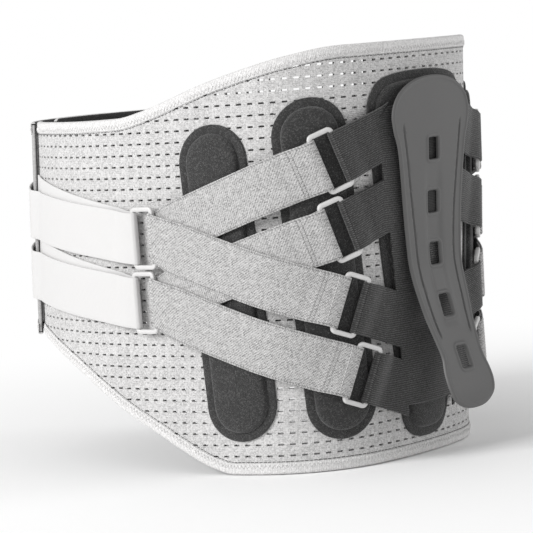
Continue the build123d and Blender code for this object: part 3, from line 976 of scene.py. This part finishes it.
def arm_maker(number):
    """Functions for one arm of an elastic strap: its length, its inner face's r, and points on it."""
    d0, z0 = ANCHORS[number]
    d1, z1 = PULLS[number % 2]
    slope = math.radians(anchor_slope(number))
    start_d = d0 + ANCHOR_REACH * math.cos(slope)
    start_z = z0 + ANCHOR_REACH * math.sin(slope)
    length = math.hypot(d1 - PULL_REACH - start_d, z1 - start_z)
    upper = number < 2     # these two arms lie under the others where they cross
    middle = 6.7 if upper else 8.5
    last = PULL_R - HUG - WEB_THICK if upper else PULL_R + HUG
    stops = [(-50, ANCHOR_R + HUG), (2, ANCHOR_R + HUG), (9, middle + 0.9), (15, middle + 0.15), (20, middle),
             (length - 18, middle), (length - 3, last), (length, last)]
    anchor = anchor_plane(number)
    pull = pull_plane(number % 2)

    def rise(s):
        return smooth_line(stops, s) + 0.3 * step_up(s, 3, 6) * (1 - step_up(s, TAIL, TAIL + 1.5))

    def at(s, v, r):
        s, v, r = np.broadcast_arrays(np.asarray(s, float), v, r)
        tilt = slope * (1 - step_up(s, length - 30, length - 2))
        narrow = v * (1 - 0.03 * step_up(s, length - 20, length))
        aside, up = -narrow * np.sin(tilt), narrow * np.cos(tilt)
        wall = place(start_d + s * math.cos(slope) + aside, r, start_z + s * math.sin(slope) + up)
        by_anchor = anchor.at(ANCHOR_REACH + s, narrow, r - ANCHOR_R)
        by_pull = pull.at(-PULL_REACH - (length - s) * math.cos(slope) + aside,
                          -(length - s) * math.sin(slope) + up, r - PULL_R)
        near_anchor = (1 - step_up(s, 4, 20))[..., None]
        near_pull = step_up(s, length - 20, length - 4)[..., None]
        return wall * (1 - near_anchor - near_pull) + by_anchor * near_anchor + by_pull * near_pull

    return length, rise, at


def add_arm(piece, number):
    """An arm of elastic with its fold round the anchor ring's bar, its sewn tail and its stitches."""
    length, rise, at = arm_maker(number)
    stations = np.concatenate([np.arange(0, 24, 1.5), np.arange(24, length - 24, 4),
                               np.linspace(length - 24, length, 17)])
    add_web(piece, lambda s, v, w: at(s, v, rise(s) + w), stations, ELASTIC)
    add_web(piece, fold_round(anchor_plane(number), ANCHOR_REACH, -1), np.linspace(0, math.pi, 9), ELASTIC)
    under = ANCHOR_R - HUG
    add_web(piece, lambda s, v, w: at(s, v, under + step_up(s, 2, 9) * (rise(s) - 0.05 - under) - w),
            np.linspace(0, TAIL, 11), ELASTIC, width=WEBBING - 0.6)
    for s, thread in ((6.6, PALE_THREAD), (13.4, GREY_THREAD), (15.4, GREY_THREAD)):
        add_dashes(piece, lambda t, lift: at(s, t, rise(s) + WEB_THICK + lift), -16.5, 16.5,
                   thread, 2.3, 0.2, 0.2)


def make_elastics():
    """Each elastic is one strap: two arms from anchor rings, joined round the bar of a pull ring."""
    for side in SIDES:
        for number, level in enumerate(LEVELS):
            piece = Piece("elastic_web_%s_%s" % (level, side), side)
            add_arm(piece, number)
            add_arm(piece, number + 2)
            plane = pull_plane(number)
            add_web(piece, lambda s, v, w: plane.at(-PULL_REACH + np.cos(s) * (HUG + w), v * 0.97,
                                                    np.sin(s) * (HUG + w)),
                    np.linspace(-math.pi / 2, math.pi / 2, 9), ELASTIC)
            at_hinge(piece.make("elastic_webbing", 55), side, "elastic_%s_%s" % (level, side),
                     start=172, end=204)


def make_pull_straps():
    """The pull straps: an outer layer to the grip, a fold round the ring's bar and an inner layer under it."""
    for side in SIDES:
        for number, level in enumerate(LEVELS):
            add_pull_strap(side, number, "%s_%s" % (level, side))


def add_pull_strap(side, number, which):
    ring_d, ring_z = PULLS[number]
    bar_d = ring_d + PULL_REACH
    plane = pull_plane(number)
    front_r, climb = GRIP_R[side], CLIMB_D[side] - bar_d
    end = GRIP_D - bar_d
    over_bar, under_bar = PULL_R + HUG, PULL_R - HUG - WEB_THICK
    outer = [(-20, over_bar), (3, over_bar), (250 - bar_d, 4.6), (268 - bar_d, 2.7), (climb, 2.7),
             (climb + 13, front_r), (300, front_r)]
    inner = [(-20, under_bar), (3, under_bar), (250 - bar_d, 1.0), (268 - bar_d, 0.7), (300, 0.7)]

    def at(s, v, r, degrees=PULL_SLOPE):
        s, v, r = np.broadcast_arrays(np.asarray(s, float), v, r)
        slope = math.radians(degrees)
        tilt = slope * step_up(s, 2, 26)
        along = s - v * np.sin(tilt)
        up = s * math.tan(slope) + v * np.cos(tilt)
        near = (1 - step_up(s, 4, 20))[..., None]
        return (place(bar_d + along, r, ring_z + up) * (1 - near)
                + plane.at(PULL_REACH + along, up, r - PULL_R) * near)

    def over(s, v, w):
        return at(s, v, smooth_line(outer, s) + w)

    piece = Piece("pull_web_" + which, side)
    add_web(piece, over, [*np.arange(0, 30, 2.5), *np.arange(30, end, 4), end - 1.2, end], WHITE_WEB)
    add_web(piece, lambda s, v, w: at(s, v, smooth_line(inner, s) + w, PULL_SLOPE + 4.2),
            np.linspace(0, 371 - bar_d, 36), WHITE_WEB)
    add_web(piece, fold_round(plane, PULL_REACH, -1), np.linspace(0, math.pi, 9), WHITE_WEB)
    for s in (end - 1.8, end - 17):
        add_dashes(piece, lambda t, lift: over(s, t, WEB_THICK + lift), -16, 16, PALE_THREAD, 2.6)
    for v in (-16, 16):
        add_dashes(piece, lambda t, lift: over(t, v, WEB_THICK + lift), end - 17, end - 2, PALE_THREAD, 2.6)
    made = piece.make("white_webbing", 55)
    first, second = (tuple(place(SIDES[side] * (bar_d + ahead), 0, ring_z)) for ahead in (-2, 22))
    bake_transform(made)
    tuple(first)
    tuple(second)
    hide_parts("pull_strap_" + which)
    piece = Piece("grip_hooks_" + which, side)
    add_web(piece, lambda s, v, w: at(s, v, front_r - 1.05 + w),
            np.linspace(FRONT_D + 12 - bar_d, end - 2, 6), HOOK_PILE, WEBBING - 5, 0.9)
    ridden(piece.make("hook_tape"), "strap_" + which, "strap_hook_" + which)


# ---- the ribbed panel --------------------------------------------------------------------------------

def comb_side():
    """The right-hand outline of the ribbed panel with its tabs, from bottom to top, as d and z."""
    d = np.linspace(0, 80, 161)
    x = on_plan(d, COMB_R)[0]
    heights, halves = np.array(COMB_EDGE, float).T
    edge = stack(np.interp(halves, x, d), heights)
    loop = [(0.0, COMB_LOW), edge[0]]
    for number in reversed(range(len(ANCHORS))):
        slope = math.radians(anchor_slope(number))
        along = np.array([math.cos(slope), math.sin(slope)])
        across = np.array([-along[1], along[0]])
        bar = np.array(ANCHORS[number]) - along * ANCHOR_REACH
        for lift in (-1, 1):
            outer = bar + across * lift * WEBBING / 2
            line = outer - along * np.linspace(0, 60, 241)[:, None]
            met = line[np.argmax(line[:, 0] <= np.interp(line[:, 1], edge[:, 1], edge[:, 0]))]
            run = met + (outer - met) * np.linspace(0, 1, 8)[:, None]
            loop += list(run[::-lift])
            if lift < 0:
                loop += list(outer + across * WEBBING * np.linspace(0, 1, 10)[1:-1, None])
    return np.array(loop + [edge[-2], edge[-1], (0.0, COMB_HIGH)])


def comb_points(flat, depth):
    """Points of the ribbed panel: on the belt, and rising over the anchor rings' bars at the tabs' ends."""
    half = np.abs(flat)
    points = place(half[:, 0], COMB_R + depth, half[:, 1])
    for number in range(len(ANCHORS)):
        slope = math.radians(anchor_slope(number))
        d, z = (half - ANCHORS[number]).T
        x = d * math.cos(slope) + z * math.sin(slope)
        y = -d * math.sin(slope) + z * math.cos(slope)
        near = step_up(x, -ANCHOR_REACH - 15, -ANCHOR_REACH - 1) * (np.abs(y) < WEBBING / 2 + 1)
        r = COMB_R + near * (ANCHOR_R + HUG - COMB_R) + depth
        near = near[:, None]
        round_bar = anchor_plane(number).at(x, y, r - ANCHOR_R)
        points = np.where(near > 0, place(half[:, 0], r, half[:, 1]) * (1 - near) + round_bar * near, points)
    return points * stack(np.where(flat[:, 0] < 0, -1.0, 1.0), 1.0, 1.0)


def comb_weave(flat):
    """Cloth coordinates whose v runs across each tab, and is the height on the middle of the panel."""
    upper = step_up(flat[:, 1], 132, 146)
    slope = np.radians(anchor_slope(0) * upper + anchor_slope(3) * (1 - upper))
    v = flat[:, 1] - np.tan(slope) * np.maximum(np.abs(flat[:, 0]) - 46, 0)
    return stack(flat[:, 0], v * math.cos(math.radians(18)), 0.0)


def make_comb():
    """The ribbed panel, its tabs folded round the anchor rings, and the hook pad that holds the plate."""
    right = comb_side()
    outline = np.concatenate([right, right[-2:0:-1] * [-1, 1]])
    piece = Piece("ribbed_panel")
    rim = [(0.0, 0.6), (0.2, 0.2), (0.6, 0.0)]
    filled(piece, outline, lambda flat, drop: comb_points(flat, COMB_THICK - drop),
           lambda flat, drop: comb_points(flat, 0.3 * drop), rim, RIBBED, 2.4, weave=comb_weave)
    for mirror in ([1, 1, 1], [-1, 1, 1]):
        for number in range(len(ANCHORS)):
            plane = anchor_plane(number)
            fold = fold_round(plane, -ANCHOR_REACH, 1)
            add_web(piece, lambda s, v, w: fold(s, v, w) * mirror, np.linspace(0, math.pi, 9), RIBBED)
            add_web(piece, lambda s, v, w: mirror * plane.at(-ANCHOR_REACH - s, v,
                                                             -HUG - w + step_up(s, 1, 6) * 0.45),
                    np.linspace(0, 9, 5), RIBBED, width=WEBBING - 1)
    ridden(piece.make("black_webbing", 55), "back", "comb_panel")
    half = np.array([(21, 166), (22, 170), (22, 246), (19, 249)], float)
    outline = np.concatenate([half, half[::-1] * [-1, 1]])
    piece = slab("plate_hooks", "right", outline, COMB_R + COMB_THICK + GAP, 8.1, HOOK_PILE, 4.0)
    ridden(piece.make("hook_tape"), "back", "plate_hook_pad")


# ---- the plate ---------------------------------------------------------------------------------------

def plate_face(flat, depth):
    """Points of the plate that far behind its plain outer face, in metres."""
    x, z = flat.T
    return stack(x, BACK_Y - LEAN * z - smooth_line(PLATE_STANDOFF, z) + depth, z) * MM


def plate_top(flat, drop):
    """The outer face, with its two grooves, the channel between them and a slight crown."""
    x, z = flat.T
    gap = np.abs(np.abs(x) - smooth_line(GROOVE, z))
    groove = GROOVE_DEEP * np.exp(-(gap / 0.75) ** 4) * step_up(z, 82, 87) * (1 - step_up(z, 229, 234))
    channel = step_up(z, 88, 97) * (1 - step_up(z, 178, 212)) * (1 - step_up(np.abs(x), 5.5, 10.5))
    crown = 1.1 * (x / 40) ** 2
    return plate_face(flat, drop + groove + CHANNEL_DEEP * channel + crown)


def plate_under(flat, drop):
    return plate_face(flat, PLATE_THICK - np.minimum(drop, 0.8) * 0.5)


def slot_loop(centre_z):
    """The outline of a slot, in steps short enough for the plate's mesh."""
    width, height = SLOT_SIZE
    loop = rounded_loop(width / 2, height / 2, SLOT_CORNER, 5) + [0, centre_z]
    return finer(np.concatenate([loop, loop[:1]]), 1.5)[:-1]


def make_plate():
    """The slotted plate, with extra points in its mesh along the grooves."""
    extra = []
    for z in np.arange(83, 234, 1.6):
        centre = smooth_line(GROOVE, z)
        for offset in (-1.1, -0.75, -0.45, -0.15, 0.15, 0.45, 0.75, 1.1):
            extra += [(centre + offset, z), (-centre - offset, z)]
    piece = Piece("back_plate")
    filled(piece, symmetric_curve(PLATE_OUTLINE, 420), plate_top, plate_under, PLATE_RIM, PLATE_PLASTIC, 1.9,
           [slot_loop(z) for z in PLATE_SLOTS], extra)
    ridden(piece.make("plate_plastic", 50), "back", "lumbar_plate")


# ---- stage ---------------------------------------------------------------------------------------------

def make_floor():
    """A white floor that fades into the white behind it."""
    look = Look("floor", 0.9)
    look.surface.inputs["Base Color"].default_value = (0.97, 0.97, 0.97, 1)
    look.surface.inputs["Specular IOR Level"].default_value = 0.1
    where = node(look.tree, "ShaderNodeTexCoord").outputs["Object"]
    away = node(look.tree, "ShaderNodeVectorMath", {0: where}, operation="LENGTH").outputs["Value"]
    fade = node(look.tree, "ShaderNodeMapRange", {"Value": away, "From Min": 0.16, "From Max": 0.75},
                interpolation_type="SMOOTHSTEP").outputs[0]
    glow = node(look.tree, "ShaderNodeEmission", {"Color": (1, 1, 1, 1), "Strength": 1.0}).outputs[0]
    both = node(look.tree, "ShaderNodeMixShader", {0: fade, 1: look.surface.outputs[0], 2: glow})
    look.tree.links.new(both.outputs[0], look.tree.nodes["Material Output"].inputs["Surface"])
    bpy.ops.mesh.primitive_circle_add(vertices=96, radius=40, fill_type="NGON", location=(0, 0, -0.0004))
    floor = bpy.context.object
    floor.name = "floor"
    floor.data.materials.append(look.material)


def make_lights():
    """Soft studio light: a pale world that the camera sees as white, a key light and a rim light."""
    world = bpy.data.worlds.new("studio")
    world.use_nodes = True
    background = world.node_tree.nodes["Background"]
    background.inputs[0].default_value = (1, 1, 1, 1)
    seen = node(world.node_tree, "ShaderNodeLightPath").outputs["Is Camera Ray"]
    strength = node(world.node_tree, "ShaderNodeMapRange", {"Value": seen, "To Min": 0.55, "To Max": 1.0})
    world.node_tree.links.new(strength.outputs[0], background.inputs[1])
    bpy.context.scene.world = world
    bpy.context.scene.view_settings.view_transform = "Standard"
    middle = Vector((0, 0, 0.14))
    for name, spot, size, power in (("key", (-2.9, 0.9, 1.5), 1.4, 95), ("rim", (1.6, -2.2, 1.0), 1.0, 14)):
        data = bpy.data.lights.new(name, "AREA")
        data.energy = power
        data.size = size
        light = bpy.data.objects.new(name, data)
        light.location = spot
        light.rotation_euler = (middle - Vector(spot)).to_track_quat("-Z", "Y").to_euler()
        bpy.context.scene.collection.objects.link(light)


def make_camera():
    """A long lens, slightly rolled."""
    eye = Vector((-1.5233, -1.2759, 0.3054))
    aim = Vector((0.1991, 0.1610, 0.1092))
    roll = math.radians(4.36)
    forward = (aim - eye).normalized()
    right = forward.cross(Vector((0, 0, 1))).normalized()
    up = right.cross(forward)
    across = right * math.cos(roll) - up * math.sin(roll)
    upward = right * math.sin(roll) + up * math.cos(roll)
    data = bpy.data.cameras.new("camera")
    data.lens = 184.2
    data.sensor_width = 36
    data.clip_end = 100
    camera = bpy.data.objects.new("camera", data)
    camera.matrix_world = Matrix.Translation(eye) @ Matrix((across, upward, -forward)).transposed().to_4x4()
    bpy.context.scene.collection.objects.link(camera)
    bpy.context.scene.camera = camera


make_panels()
make_bindings()
make_front()
make_pads()
make_rings()
make_elastics()
make_pull_straps()
make_comb()
make_plate()
make_floor()
make_lights()
make_camera()
